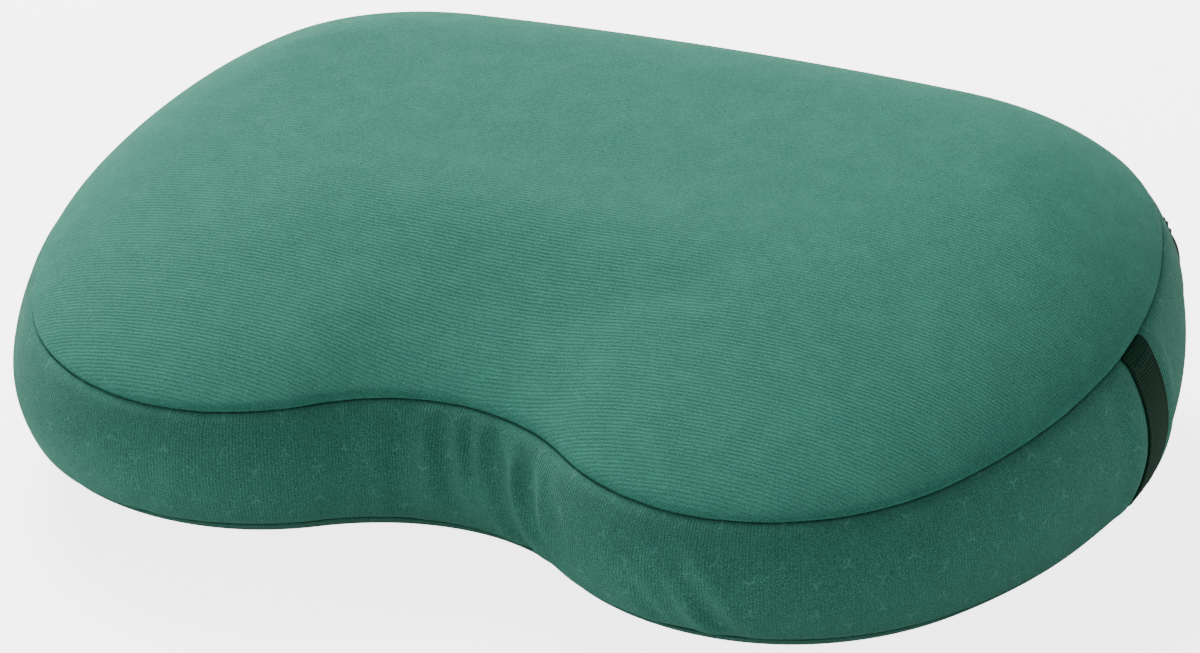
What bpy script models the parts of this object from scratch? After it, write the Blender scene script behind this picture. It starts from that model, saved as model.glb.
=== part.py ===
# Camp pillow: a kidney-shaped foam core with laminated skins and a two-stage air valve, in a zipped
# knit cover. Metres, +Z up. X runs along the pillow, the neck notch faces -Y, and the origin is the
# middle of the face it rests on.
import math

import bmesh
import bpy
from mathutils import Matrix, Vector

# Outline of the top seam, seen from above: back, shoulders, sides, front lobes and notch are all arcs.
seam_length = 0.364
seam_depth = 0.240
back_radius = 1.100
shoulder_radius = 0.078
side_radius = 0.164
lobe_radius = 0.0805
notch_radius = 0.071
widest_point_y = 0.003

# Heights of the side view. The pillow is lower at the neck than at the back.
front_seam_height = 0.052
back_seam_height = 0.0805
bottom_seam_height = 0.0145
crown_height = 0.0305
crown_fullness = 0.82
foot_inset = 0.036

# The side band bulges between its seams and its foot is a little wider than its top.
band_bulge = 0.0080
band_flare = 0.0015

# Where the crown's rings gather: a line along the pillow, well behind its middle, where it is highest.
spine_length_share = 0.62
spine_depth_share = 0.05
spine_y = 0.057
crown_steps = (0.0, 0.015, 0.05, 0.12, 0.23, 0.38, 0.58, 0.80)
base_steps = 5
band_steps = 4

# Layers, from the outside in.
gap = 0.0003
fabric_thickness = 0.0012
skin_thickness = 0.0008
core_side_inset = 0.0050
foam_shoulder = 0.0016

# Zip in the back band, along the back arc.
zip_end_margin = 0.0045
zip_height = 0.048
zip_mouth = 0.010
tape_thickness = 0.0006
tape_reach = 0.012
coil_slot = 0.0010
coil_height = 0.0017
coil_depth = 0.0022
stop_length = 0.003
slider_length = 0.009
slider_height = 0.008
slider_plate = 0.0010
slider_web = 0.0004
bar_radius = 0.0005
bar_stand_off = 0.0015
bar_span = 0.0032
post_width = 0.0008
tab_width = 0.0044
tab_length = 0.018
tab_thickness = 0.0009
tab_eye_radius = 0.0013
tab_eye_bore = 0.0008
tab_eye_width = 0.0024

# Valve in the right shoulder: body in the core's wall, plug in the body, cap on the plug.
valve_turn = math.radians(40)
valve_height = 0.046
valve_bore = 0.0080
valve_neck = 0.0110
valve_flange = 0.0170
valve_flange_thickness = 0.0012
valve_rim = 0.0024
valve_fit = 0.0003
binding_width = 0.0036
binding_thickness = 0.0010
plug_wall = 0.0017
plug_depth = 0.0020
plug_flange = 0.0095
plug_flange_thickness = 0.0008
plug_hole = 0.0045
membrane_thickness = 0.0006
membrane_depth = 0.0012
cap_radius = 0.0082
cap_thickness = 0.0010
cap_peg_depth = 0.0018
hinge_lug_width = 0.0050
plug_hinge_reach = 0.01255
cap_hinge_reach = 0.0096

# Webbing loops over the ends of the band, and the care label at the back.
loop_width = 0.015
loop_thickness = 0.0012
loop_y = 0.003
label_width = 0.026
label_thickness = 0.0006
label_share = 0.62
label_turn = math.radians(34)

round_sides = 24


def new_collection(name):
    collection = bpy.data.collections.new(name)
    bpy.context.scene.collection.children.link(collection)
    return collection


def material(name, colour, roughness, metallic=0.0):
    made = bpy.data.materials.new(name)
    made.use_nodes = True
    shader = made.node_tree.nodes["Principled BSDF"]
    shader.inputs["Base Color"].default_value = (*colour, 1.0)
    shader.inputs["Roughness"].default_value = roughness
    shader.inputs["Metallic"].default_value = metallic
    made.diffuse_color = (*colour, 1.0)
    return made


def clear_scene():
    for thing in list(bpy.data.objects):
        bpy.data.objects.remove(thing, do_unlink=True)


clear_scene()
parts = new_collection("camp_pillow")
cutters = new_collection("cutters")
materials = {
    "top_jersey": material("top_jersey", (0.082, 0.283, 0.216), 0.9),
    "band_jersey": material("band_jersey", (0.035, 0.146, 0.107), 0.92),
    "zip_tape": material("zip_tape", (0.014, 0.080, 0.052), 0.85),
    "zip_coil": material("zip_coil", (0.010, 0.045, 0.030), 0.45),
    "zip_metal": material("zip_metal", (0.030, 0.032, 0.033), 0.4, 0.8),
    "webbing": material("webbing", (0.004, 0.020, 0.009), 0.8),
    "label_satin": material("label_satin", (0.62, 0.62, 0.60), 0.5),
    "film_fabric": material("film_fabric", (0.20, 0.21, 0.22), 0.55),
    "foam": material("foam", (0.72, 0.66, 0.42), 0.95),
    "valve_plastic": material("valve_plastic", (0.045, 0.048, 0.050), 0.42),
    "silicone": material("silicone", (0.55, 0.56, 0.55), 0.35),
}


# ---- Outline -------------------------------------------------------------------------------------

def bearing(start, end):
    # Angle of a direction, clockwise from +Y seen from above.
    return math.atan2(end.x - start.x, end.y - start.y)


def circle_crossing(first, first_radius, second, second_radius):
    # The crossing of two circles that lies further towards +X.
    between = second - first
    distance = between.length
    along = between / distance
    reach = (first_radius ** 2 - second_radius ** 2 + distance ** 2) / (2 * distance)
    height = math.sqrt(first_radius ** 2 - reach ** 2)
    across = Vector((along.y, -along.x))
    crossings = [first + along * reach + across * height, first + along * reach - across * height]
    return max(crossings, key=lambda point: point.x)


def half_outline():
    # Arcs of the right half, from the back's middle to the notch's: centre, radius, angles, side.
    back = Vector((0, seam_depth / 2 - back_radius))
    side = Vector((seam_length / 2 - side_radius, widest_point_y))
    shoulder = circle_crossing(back, back_radius - shoulder_radius, side, side_radius - shoulder_radius)
    lobe_y = lobe_radius - seam_depth / 2
    lobe_x = side.x + math.sqrt((side_radius - lobe_radius) ** 2 - (lobe_y - side.y) ** 2)
    lobe = Vector((lobe_x, lobe_y))
    notch = Vector((0, lobe_y - math.sqrt((lobe_radius + notch_radius) ** 2 - lobe_x ** 2)))
    back_end = bearing(back, shoulder)
    zip_end = back_end - zip_end_margin / back_radius
    side_start = bearing(side, shoulder)
    side_end = bearing(side, lobe)
    lobe_end = 2 * math.pi + bearing(lobe, notch)
    if lobe_end > 2 * math.pi:
        lobe_end -= 2 * math.pi
    return {
        "zip": (back, back_radius, 0.0, zip_end, 1),
        "back": (back, back_radius, zip_end, back_end, 1),
        "shoulder": (shoulder, shoulder_radius, back_end, side_start, 1),
        "side": (side, side_radius, side_start, side_end, 1),
        "lobe": (lobe, lobe_radius, side_end, lobe_end, 1),
        "notch": (notch, notch_radius, lobe_end - math.pi, 0.0, -1),
    }


arcs = half_outline()
arc_steps = {"zip": 5, "back": 1, "shoulder": 7, "side": 6, "lobe": 8, "notch": 5}


def stations_of(name, steps=None, first=None, last=None):
    # Stations along one arc, with both its ends.
    centre, radius, start, end, side = arcs[name]
    start = start if first is None else first
    end = end if last is None else last
    count = steps or arc_steps[name]
    return [(centre, radius, start + (end - start) * step / count, side) for step in range(count + 1)]


def mirrored(stations):
    flip = [(Vector((-centre.x, centre.y)), radius, -angle, side) for centre, radius, angle, side in stations]
    return flip[::-1]


def chain(*runs):
    # Joins runs of stations that share their end stations.
    joined = list(runs[0])
    for run in runs[1:]:
        joined.extend(run[1:])
    return joined


def place(station, inset):
    # Point of the outline, moved towards the pillow's inside by the inset.
    centre, radius, angle, side = station
    reach = radius - side * inset
    return Vector((centre.x + reach * math.sin(angle), centre.y + reach * math.cos(angle)))


right_wrap = chain(*[stations_of(name) for name in ("back", "shoulder", "side", "lobe", "notch")])
wrap_stations = chain(right_wrap, mirrored(right_wrap))
zip_stations = chain(mirrored(stations_of("zip")), stations_of("zip"))
loop_stations = chain(zip_stations, wrap_stations)[:-1]
zip_panel_end = arcs["zip"][3] - gap / back_radius
zip_panel_half = stations_of("zip", last=zip_panel_end)
zip_panel_stations = chain(mirrored(zip_panel_half), zip_panel_half)


# ---- Heights and surfaces --------------------------------------------------------------------------

def seam_plane(y):
    slope = (back_seam_height - front_seam_height) / seam_depth
    return front_seam_height + slope * (y + seam_depth / 2)


def band_inset(station, height):
    # How far the band lies inside the outline at a height: negative where it bulges out.
    top = seam_plane(place(station, 0).y)
    share = (top - height) / (top - bottom_seam_height)
    return -(band_flare * share + band_bulge * 4 * share * (1 - share))


def band_point(station, height, inset):
    spot = place(station, band_inset(station, height) + inset)
    return Vector((spot.x, spot.y, height))


def seam_to_seam(top):
    # The top panel's edge is turned down over the band's, so the band starts a fabric's thickness lower.
    return top - fabric_thickness, bottom_seam_height


def band_rows(stations, inset, span=seam_to_seam):
    # Rows of points down the band. The span gives a station's first and last height from its seam's.
    rows = []
    for step in range(band_steps + 1):
        row = []
        for station in stations:
            first, last = span(seam_plane(place(station, 0).y))
            row.append(band_point(station, first + (last - first) * step / band_steps, inset))
        rows.append(row)
    return rows


def crown_rows(side_inset, sink):
    # Rows from the spine out to the top seam, sunk below the cover's outer face.
    rows = []
    for step in reversed(crown_steps):
        rise = crown_height * (1 - (1 - step) ** 2) ** crown_fullness
        row = []
        for station in loop_stations:
            edge = place(station, side_inset)
            spine = Vector((edge.x * spine_length_share, edge.y * spine_depth_share + spine_y))
            spot = edge.lerp(spine, step)
            row.append(Vector((spot.x, spot.y, seam_plane(spot.y) + rise - sink)))
        rows.append(row)
    return rows


def base_rows(side_inset, lift, drop):
    # Rows from the bottom seam, turned well under, to the flat face the pillow rests on. The wall is
    # slanted there, so its inner edge stands higher than its outer one, and the drop leaves room for it.
    rows = []
    start = bottom_seam_height - drop
    for step in range(base_steps + 1):
        share = step / base_steps
        inset = side_inset - band_flare + foot_inset * share
        height = lift + (start - lift) * (1 - share) ** 2
        row = []
        for station in loop_stations:
            spot = place(station, inset)
            row.append(Vector((spot.x, spot.y, height)))
        rows.append(row)
    return rows


def loft(name, rows, closed_loop, first_cap=False, last_cap=False):
    # A surface through rows of points. Each row runs clockwise seen from above, and the rows run downwards.
    mesh = bmesh.new()
    grid = [[mesh.verts.new(point) for point in row] for row in rows]
    count = len(rows[0])
    for upper, lower in zip(grid, grid[1:]):
        for index in range(count if closed_loop else count - 1):
            after = (index + 1) % count
            mesh.faces.new((upper[index], upper[after], lower[after], lower[index]))
    if first_cap:
        mesh.faces.new(grid[0][::-1])
    if last_cap:
        mesh.faces.new(grid[-1])
    return as_object(name, mesh)


def as_object(name, mesh, collection=None):
    data = bpy.data.meshes.new(name)
    mesh.to_mesh(data)
    mesh.free()
    made = bpy.data.objects.new(name, data)
    (collection or parts).objects.link(made)
    return made


def finish(thing, slot, sharp_angle=math.radians(35)):
    thing.data.materials.clear()
    thing.data.materials.append(materials[slot])
    thing.data.shade_smooth()
    thing.data.set_sharp_from_angle(angle=sharp_angle)
    return thing


def thicken(thing, thickness):
    solid = thing.modifiers.new("Thickness", "SOLIDIFY")
    solid.thickness = thickness
    solid.offset = -1
    solid.use_even_offset = True
    return thing


# ---- Solids, joins and cuts ------------------------------------------------------------------------

def box(name, size, centre, frame=Matrix.Identity(4), collection=None):
    mesh = bmesh.new()
    bmesh.ops.create_cube(mesh, size=1.0)
    bmesh.ops.scale(mesh, vec=size, verts=mesh.verts)
    bmesh.ops.translate(mesh, vec=centre, verts=mesh.verts)
    thing = as_object(name, mesh, collection)
    thing.matrix_world = frame
    return thing


def cylinder(name, radius, length, centre, turn=Matrix.Identity(4), frame=Matrix.Identity(4), collection=None):
    mesh = bmesh.new()
    bmesh.ops.create_cone(mesh, cap_ends=True, segments=round_sides, radius1=radius, radius2=radius, depth=length)
    bmesh.ops.transform(mesh, matrix=turn, verts=mesh.verts)
    bmesh.ops.translate(mesh, vec=centre, verts=mesh.verts)
    thing = as_object(name, mesh, collection)
    thing.matrix_world = frame
    return thing


def turned(name, profile, frame):
    # A closed profile of (radius, height) points turned about the frame's Z.
    mesh = bmesh.new()
    points = [mesh.verts.new((radius, 0, height)) for radius, height in profile]
    edges = [mesh.edges.new((points[index - 1], points[index])) for index in range(len(points))]
    bmesh.ops.spin(mesh, geom=points + edges, cent=(0, 0, 0), axis=(0, 0, 1), angle=2 * math.pi,
                   steps=round_sides, use_merge=True)
    bmesh.ops.remove_doubles(mesh, verts=mesh.verts, dist=1e-6)
    bmesh.ops.recalc_face_normals(mesh, faces=mesh.faces)
    thing = as_object(name, mesh)
    thing.matrix_world = frame
    return thing


def combine(thing, others, operation):
    # Applies Booleans now, so that no tool is left in the parts.
    for other in others:
        step = thing.modifiers.new(operation.title(), "BOOLEAN")
        step.operation = operation
        step.solver = "EXACT"
        step.object = other
    bpy.context.view_layer.update()
    evaluated = thing.evaluated_get(bpy.context.evaluated_depsgraph_get())
    data = bpy.data.meshes.new_from_object(evaluated)
    thing.modifiers.clear()
    thing.data = data
    for other in others:
        bpy.data.objects.remove(other, do_unlink=True)
    return thing


def fuse(thing, *others):
    return combine(thing, others, "UNION")


def cut(thing, *others):
    return combine(thing, others, "DIFFERENCE")


def set_origin(thing, point):
    # Moves a piece's origin to a point of its own frame, and leaves the piece where it is.
    thing.data.transform(Matrix.Translation(-Vector(point)))
    thing.matrix_world = thing.matrix_world @ Matrix.Translation(point)
    bpy.context.view_layer.update()


def carry(child, parent):
    bpy.context.view_layer.update()
    child.parent = parent
    child.matrix_parent_inverse = parent.matrix_world.inverted()


def band_frame(station, height, inset):
    # Frame on the band: X back along the outline, Y up, Z straight out.
    angle = station[2]
    outward = Vector((math.sin(angle), math.cos(angle), 0))
    backward = Vector((-math.cos(angle), math.sin(angle), 0))
    turn = Matrix((backward, (0, 0, 1), outward)).transposed().to_4x4()
    return Matrix.Translation(band_point(station, height, inset)) @ turn


# ---- Cover -----------------------------------------------------------------------------------------

tape_inset = fabric_thickness + gap
coil_inset = tape_inset + tape_thickness / 2
face_sink = fabric_thickness + 2 * gap
foam_sink = face_sink + skin_thickness + 2 * gap
foam_side_inset = core_side_inset + skin_thickness + 2 * gap
valve_station = (*arcs["shoulder"][:2], valve_turn, 1)
valve_frame = band_frame(valve_station, valve_height, 0.0)


def valve_hole(radius, deepest):
    # Cutter through everything from a depth below the band's face outwards.
    length = deepest + valve_rim
    return cylinder("valve_hole", radius, length, (0, 0, (valve_rim - deepest) / 2), frame=valve_frame,
                    collection=cutters)


def make_panels():
    top = loft("cover_top_panel", crown_rows(0.0, -gap), True, first_cap=True)
    finish(thicken(top, fabric_thickness), "top_jersey")
    bottom = loft("cover_bottom_panel", base_rows(0.0, 0.0, gap + fabric_thickness), True, last_cap=True)
    finish(thicken(bottom, fabric_thickness), "band_jersey")


def make_side_band():
    band = thicken(loft("cover_side_band", band_rows(wrap_stations, 0.0), False), fabric_thickness)
    cut(band, valve_hole(valve_neck + valve_fit, core_side_inset))
    finish(band, "band_jersey")


def make_zip_panels():
    panels = {
        "cover_zip_panel_upper": lambda top: (seam_to_seam(top)[0], zip_height + zip_mouth / 2),
        "cover_zip_panel_lower": lambda top: (zip_height - zip_mouth / 2, bottom_seam_height),
    }
    for name, span in panels.items():
        panel = loft(name, band_rows(zip_panel_stations, 0.0, span), False)
        finish(thicken(panel, fabric_thickness), "band_jersey")


def make_end_loops():
    centre, radius = arcs["side"][:2]
    middle = math.acos((loop_y - centre.y) / radius)
    spread = loop_width / 2 / radius
    right = stations_of("side", 2, middle - spread, middle + spread)
    for name, stations in (("end_loop_right", right), ("end_loop_left", mirrored(right))):
        loop = loft(name, band_rows(stations, -gap - loop_thickness), False)
        finish(thicken(loop, loop_thickness), "webbing")


def make_care_label():
    spread = label_width / 2 / shoulder_radius
    stations = mirrored(stations_of("shoulder", 3, label_turn - spread, label_turn + spread))

    def hanging(top):
        return top + (bottom_seam_height - top) * label_share, bottom_seam_height

    label = loft("care_label", band_rows(stations, -gap - label_thickness, hanging), False)
    finish(thicken(label, label_thickness), "label_satin")


# ---- Zip -------------------------------------------------------------------------------------------

coil_reach = arcs["zip"][3] * back_radius - 2 * stop_length
slider_turn = (coil_reach - slider_length / 2 - gap) / back_radius


def back_station(turn):
    return (*arcs["zip"][:2], turn, 1)


def make_tapes_and_coils():
    coil_edge = coil_slot / 2 + coil_height
    coil_turn = coil_reach / back_radius
    coil_stations = [back_station(coil_turn * step / 8) for step in range(-8, 9)]
    for name, side in (("upper", 1), ("lower", -1)):
        tape_span = sorted((zip_height + side * (coil_edge + gap), zip_height + side * tape_reach), reverse=True)
        tape = loft("zip_tape_" + name, band_rows(zip_panel_stations, tape_inset, lambda top: tape_span), False)
        finish(thicken(tape, tape_thickness), "zip_tape")
        coil_span = sorted((zip_height + side * coil_slot / 2, zip_height + side * coil_edge), reverse=True)
        rows = band_rows(coil_stations, coil_inset - coil_depth / 2, lambda top: coil_span)
        coil = loft("zip_coil_" + name, [rows[0], rows[-1]], False)
        finish(thicken(coil, coil_depth), "zip_coil")


def make_stops():
    middle = (coil_reach + gap + stop_length / 2) / back_radius
    size = (stop_length, coil_slot + 2 * coil_height, coil_depth)
    for name, turn in (("zip_stop_closed_end", middle), ("zip_stop_open_end", -middle)):
        frame = band_frame(back_station(turn), zip_height, coil_inset)
        finish(box(name, size, (0, 0, 0), frame), "zip_metal")


def make_slider_and_tab():
    frame = band_frame(back_station(slider_turn), zip_height, coil_inset)
    plate_face = coil_depth / 2 + gap
    plate_out = plate_face + slider_plate
    bar_out = plate_out + bar_stand_off
    slider = box("zip_slider", (slider_length, slider_height, slider_plate),
                 (0, 0, plate_face + slider_plate / 2), frame)
    back_plate = box("back_plate", (slider_length, slider_height, slider_plate),
                     (0, 0, -plate_face - slider_plate / 2), frame)
    web = box("web", (slider_length, slider_web, 2 * plate_face + slider_plate), (0, 0, 0), frame)
    posts = []
    for side in (-1, 1):
        height = bar_stand_off + bar_radius + slider_plate / 2
        posts.append(box("post", (post_width, 4 * bar_radius, height),
                         (side * (bar_span + post_width) / 2, 0, plate_out - slider_plate / 2 + height / 2), frame))
    sideways = Matrix.Rotation(math.pi / 2, 4, "Y")
    bar = cylinder("bar", bar_radius, bar_span + post_width, (0, 0, bar_out), sideways, frame)
    finish(fuse(slider, back_plate, web, *posts, bar), "zip_metal")

    tab = cylinder("zip_pull_tab", tab_eye_radius, tab_eye_width, (0, 0, bar_out), sideways, frame)
    neck_end = 3 * tab_eye_radius
    neck = box("neck", (tab_eye_width, neck_end, tab_thickness), (0, -neck_end / 2, bar_out), frame)
    blade_length = tab_length - neck_end + gap
    blade = box("blade", (tab_width, blade_length, tab_thickness),
                (0, gap - neck_end - blade_length / 2, bar_out), frame)
    fuse(tab, neck, blade)
    cut(tab, cylinder("eye", tab_eye_bore, 2 * tab_eye_width, (0, 0, bar_out), sideways, frame, cutters))
    finish(tab, "zip_metal")
    set_origin(tab, (0, 0, bar_out))

    pivot = bpy.data.objects.new("zip_travel_centre", None)
    parts.objects.link(pivot)
    back_centre = arcs["zip"][0]
    pivot.location = (back_centre.x, back_centre.y, zip_height)
    carry(slider, pivot)
    carry(tab, slider)


# ---- Core ------------------------------------------------------------------------------------------

def core_band_span(sink):
    return lambda top: (top - sink, bottom_seam_height)


def make_foam():
    crown = crown_rows(foam_side_inset, foam_sink)
    band = band_rows(loop_stations, foam_side_inset, core_band_span(foam_sink + foam_shoulder))
    base = base_rows(foam_side_inset, foam_sink, 0.0)[1:]
    foam = loft("foam_core", crown + band + base, True, first_cap=True, last_cap=True)
    recess = valve_hole(valve_flange + valve_fit, core_side_inset + valve_flange_thickness + gap)
    finish(cut(foam, recess), "foam")


def make_skins():
    top = loft("core_top_skin", crown_rows(core_side_inset, face_sink), True, first_cap=True)
    finish(thicken(top, skin_thickness), "film_fabric")
    rows = base_rows(core_side_inset, face_sink, gap + skin_thickness)
    bottom = loft("core_bottom_skin", rows, True, last_cap=True)
    finish(thicken(bottom, skin_thickness), "film_fabric")
    rows = band_rows(loop_stations, core_side_inset, core_band_span(face_sink + gap))
    wall = thicken(loft("core_side_wall", rows, True), skin_thickness)
    finish(cut(wall, valve_hole(valve_flange + valve_fit, foam_side_inset + valve_flange)), "film_fabric")


# ---- Valve -----------------------------------------------------------------------------------------

plug_radius = valve_bore - valve_fit
plug_seat = valve_rim + valve_fit
plug_top = plug_seat + plug_flange_thickness
membrane_seat = plug_radius - plug_wall
cap_seat = plug_top + valve_fit
cap_top = cap_seat + cap_thickness


def make_valve_body():
    flange_out = -core_side_inset
    flange_in = flange_out - valve_flange_thickness
    profile = [(valve_bore, flange_in), (valve_flange, flange_in), (valve_flange, flange_out),
               (valve_neck, flange_out), (valve_neck, valve_rim), (valve_bore, valve_rim)]
    body = turned("valve_body", profile, valve_frame)
    lug_thickness = valve_rim - binding_thickness - 2 * gap
    lug_start = valve_neck - valve_fit * 2
    lug_end = plug_hinge_reach + valve_fit * 5
    lug = box("lug", (hinge_lug_width, lug_end - lug_start, lug_thickness),
              (0, (lug_start + lug_end) / 2, valve_rim - lug_thickness / 2), valve_frame)
    finish(fuse(body, lug), "valve_plastic")


def make_window_binding():
    outer = valve_neck + valve_fit + binding_width
    spread = 1.3 * outer / shoulder_radius
    stations = stations_of("shoulder", 8, valve_turn - spread, valve_turn + spread)
    rows = band_rows(stations, -gap - binding_thickness,
                     lambda top: (valve_height + 1.2 * outer, valve_height - 1.2 * outer))
    binding = thicken(loft("valve_window_binding", rows, False), binding_thickness)
    reach = 2 * core_side_inset
    ring = turned("ring", [(valve_neck + valve_fit, -reach), (outer, -reach), (outer, reach),
                           (valve_neck + valve_fit, reach)], valve_frame)
    finish(combine(binding, [ring], "INTERSECT"), "webbing")


def make_plug():
    taper = plug_wall / 3
    profile = [(membrane_seat, -plug_depth), (plug_radius - taper, -plug_depth), (plug_radius, 0.0),
               (plug_radius, plug_seat), (plug_flange, plug_seat), (plug_flange, plug_top),
               (plug_hole, plug_top), (plug_hole, membrane_depth + valve_fit),
               (membrane_seat, membrane_depth + valve_fit)]
    plug = turned("valve_plug", profile, valve_frame)
    lug_start = plug_flange - plug_flange_thickness
    lug_end = plug_hinge_reach - valve_fit / 2
    lug = box("lug", (hinge_lug_width, lug_end - lug_start, plug_flange_thickness),
              (0, (lug_start + lug_end) / 2, (plug_seat + plug_top) / 2), valve_frame)
    finish(fuse(plug, lug), "valve_plastic")
    set_origin(plug, (0, plug_hinge_reach, (plug_seat + plug_top) / 2))
    return plug


def make_membrane():
    membrane = cylinder("valve_membrane", membrane_seat - valve_fit, membrane_thickness,
                        (0, 0, membrane_depth - membrane_thickness / 2), frame=valve_frame)
    return finish(membrane, "silicone")


def make_cap():
    cap = cylinder("valve_cap", cap_radius, cap_thickness, (0, 0, cap_seat + cap_thickness / 2), frame=valve_frame)
    peg_low = plug_top - cap_peg_depth + valve_fit
    peg_high = cap_seat + cap_thickness / 2
    peg = cylinder("peg", plug_hole - valve_fit, peg_high - peg_low, (0, 0, (peg_high + peg_low) / 2),
                   frame=valve_frame)
    lug_start = cap_radius - cap_thickness
    lug_end = cap_hinge_reach - valve_fit / 2
    lug = box("lug", (hinge_lug_width, lug_end - lug_start, cap_thickness),
              (0, (lug_start + lug_end) / 2, cap_seat + cap_thickness / 2), valve_frame)
    finish(fuse(cap, peg, lug), "valve_plastic")
    set_origin(cap, (0, cap_hinge_reach, (cap_seat + cap_top) / 2))
    return cap


def make_valve():
    make_valve_body()
    make_window_binding()
    plug = make_plug()
    carry(make_membrane(), plug)
    carry(make_cap(), plug)


make_panels()
make_side_band()
make_zip_panels()
make_end_loops()
make_care_label()
make_tapes_and_coils()
make_stops()
make_slider_and_tab()
make_foam()
make_skins()
make_valve()
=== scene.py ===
import math

import bmesh
import bpy
from mathutils import Matrix, Vector, kdtree, noise


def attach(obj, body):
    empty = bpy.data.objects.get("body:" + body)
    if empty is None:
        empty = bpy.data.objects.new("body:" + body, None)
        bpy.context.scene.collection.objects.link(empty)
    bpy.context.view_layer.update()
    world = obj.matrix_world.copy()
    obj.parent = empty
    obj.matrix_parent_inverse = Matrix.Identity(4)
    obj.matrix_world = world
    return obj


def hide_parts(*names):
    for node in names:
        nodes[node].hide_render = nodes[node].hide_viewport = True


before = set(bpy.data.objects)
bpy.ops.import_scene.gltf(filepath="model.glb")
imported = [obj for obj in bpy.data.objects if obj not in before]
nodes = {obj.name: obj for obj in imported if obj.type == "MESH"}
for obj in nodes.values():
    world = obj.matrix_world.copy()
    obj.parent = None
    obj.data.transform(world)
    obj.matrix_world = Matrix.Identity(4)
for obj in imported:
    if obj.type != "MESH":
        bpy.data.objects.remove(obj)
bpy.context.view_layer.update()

upward = Vector((0, 0, 1))

# All lengths are metres. X runs along the pillow, the neck notch faces -Y, and it rests on Z = 0.
outline = {
    "length": 0.364,
    "depth": 0.240,
    "backRadius": 1.100,
    "shoulderRadius": 0.078,
    "sideRadius": 0.164,
    "lobeRadius": 0.0805,
    "notchRadius": 0.071,
    "widestY": 0.003,
    "zipMargin": 0.0045,  # from the zip's end to the start of the shoulder
}
cover = {
    "frontSeam": 0.052,  # height of the top seam at the foremost point of the outline
    "backSeam": 0.0805,
    "bottomSeam": 0.0145,
    "crown": 0.0305,
    "fullness": 0.82,  # lower is squarer
    "bulge": 0.0080,  # how far the band stands out between its seams
    "flare": 0.0015,
    "foot": 0.036,  # how far the rim turns in under the pillow
    "rimShare": 0.4,  # of the bottom panel's rows
    "spineLength": 0.62,  # the crown's rows draw in to a flattened oval, this share as long as the outline
    "spineDepth": 0.006,
    "spineY": 0.057,
    "zipColumns": 34,  # per half, on each side of the back's middle
    "wrapColumns": 102,  # per half, from the zip round to where the folds start
    "foldColumns": 82,  # per half, from there to the notch's middle
    "foldReach": 0.115,
    "seamDip": 0.0012,  # how far the fabric is drawn in at its seams
    "seamReach": 0.0014,
    "thickness": 0.0008,
    "allowance": 0.0024,
    "sink": 0.0003,  # the most that the crown sinks
    "deepestFold": 0.0034,
    "pucker": 0.00025,  # unevenness along the seams
}
simulation = {
    "start": 0.0022,  # the shape starts this much smaller
    "travel": 0.0060,  # no point moves further than this
    "pressure": 4.0,
    "frames": 20,
    "slack": -0.05,  # extra fabric in the band round the notch
    "slackFrom": (0.045, 0.085),  # metres from the notch's middle
    "mass": 0.15,
    "tension": 25,
    "shear": 8,
    "bending": 0.3,
    "quality": 6,
}


def smoothStep(low, high, value):
    share = min(1.0, max(0.0, (value - low) / (high - low)))
    return share * share * (3 - 2 * share)


def arch(share):
    # 0 at both ends and 1 half way.
    return 4 * share * (1 - share)


def flattened(point):
    return Vector((point.x, point.y, 0))


def linearColour(hexColour):
    channels = [int(hexColour[index:index + 2], 16) / 255 for index in (1, 3, 5)]
    return [c / 12.92 if c <= 0.04045 else ((c + 0.055) / 1.055) ** 2.4 for c in channels] + [1.0]


# The outline: back, shoulder, side, front lobe and notch are arcs, each tangent to the next.
def outlineArcs():
    back = Vector((0, outline["depth"] / 2 - outline["backRadius"]))
    side = Vector((outline["length"] / 2 - outline["sideRadius"], outline["widestY"]))
    backReach = outline["backRadius"] - outline["shoulderRadius"]
    sideReach = outline["sideRadius"] - outline["shoulderRadius"]
    between = side - back
    along = (backReach ** 2 - sideReach ** 2 + between.length_squared) / (2 * between.length)
    across = Vector((between.y, -between.x)).normalized() * math.sqrt(backReach ** 2 - along ** 2)
    foot = back + between.normalized() * along
    shoulder = max((foot + across, foot - across), key=lambda spot: spot.x)
    lobeY = outline["lobeRadius"] - outline["depth"] / 2
    lobeReach = outline["sideRadius"] - outline["lobeRadius"]
    lobeX = side.x + math.sqrt(lobeReach ** 2 - (lobeY - side.y) ** 2)
    lobe = Vector((lobeX, lobeY))
    notchDrop = math.sqrt((outline["lobeRadius"] + outline["notchRadius"]) ** 2 - lobeX ** 2)
    notch = Vector((0, lobeY - notchDrop))

    def bearing(first, second):
        return math.atan2(second.x - first.x, second.y - first.y)

    backEnd = bearing(back, shoulder)
    zipEnd = backEnd - outline["zipMargin"] / outline["backRadius"]
    lobeEnd = bearing(lobe, notch) % (2 * math.pi)
    return [
        (back, outline["backRadius"], 0.0, zipEnd, 1),
        (back, outline["backRadius"], zipEnd, backEnd, 1),
        (shoulder, outline["shoulderRadius"], backEnd, bearing(side, shoulder), 1),
        (side, outline["sideRadius"], bearing(side, shoulder), bearing(side, lobe), 1),
        (lobe, outline["lobeRadius"], bearing(side, lobe), lobeEnd, 1),
        (notch, outline["notchRadius"], lobeEnd - math.pi, 0.0, -1),
    ]


arcs = outlineArcs()
arcLengths = [radius * abs(end - start) for centre, radius, start, end, side in arcs]
halfLength = sum(arcLengths)
girth = 2 * halfLength
zipHalf = arcLengths[0]


def outlineAt(distance):
    # Point and outward direction, by the distance clockwise from the back's middle.
    distance %= girth
    mirror = 1
    if distance > halfLength:
        distance, mirror = girth - distance, -1
    for (centre, radius, start, end, side), length in zip(arcs, arcLengths):
        if distance <= length + 1e-9:
            break
        distance -= length
    angle = start + (end - start) * distance / length
    outward = Vector((mirror * math.sin(angle), math.cos(angle), 0))
    return Vector((mirror * centre.x, centre.y, 0)) + outward * radius, outward * side


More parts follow.
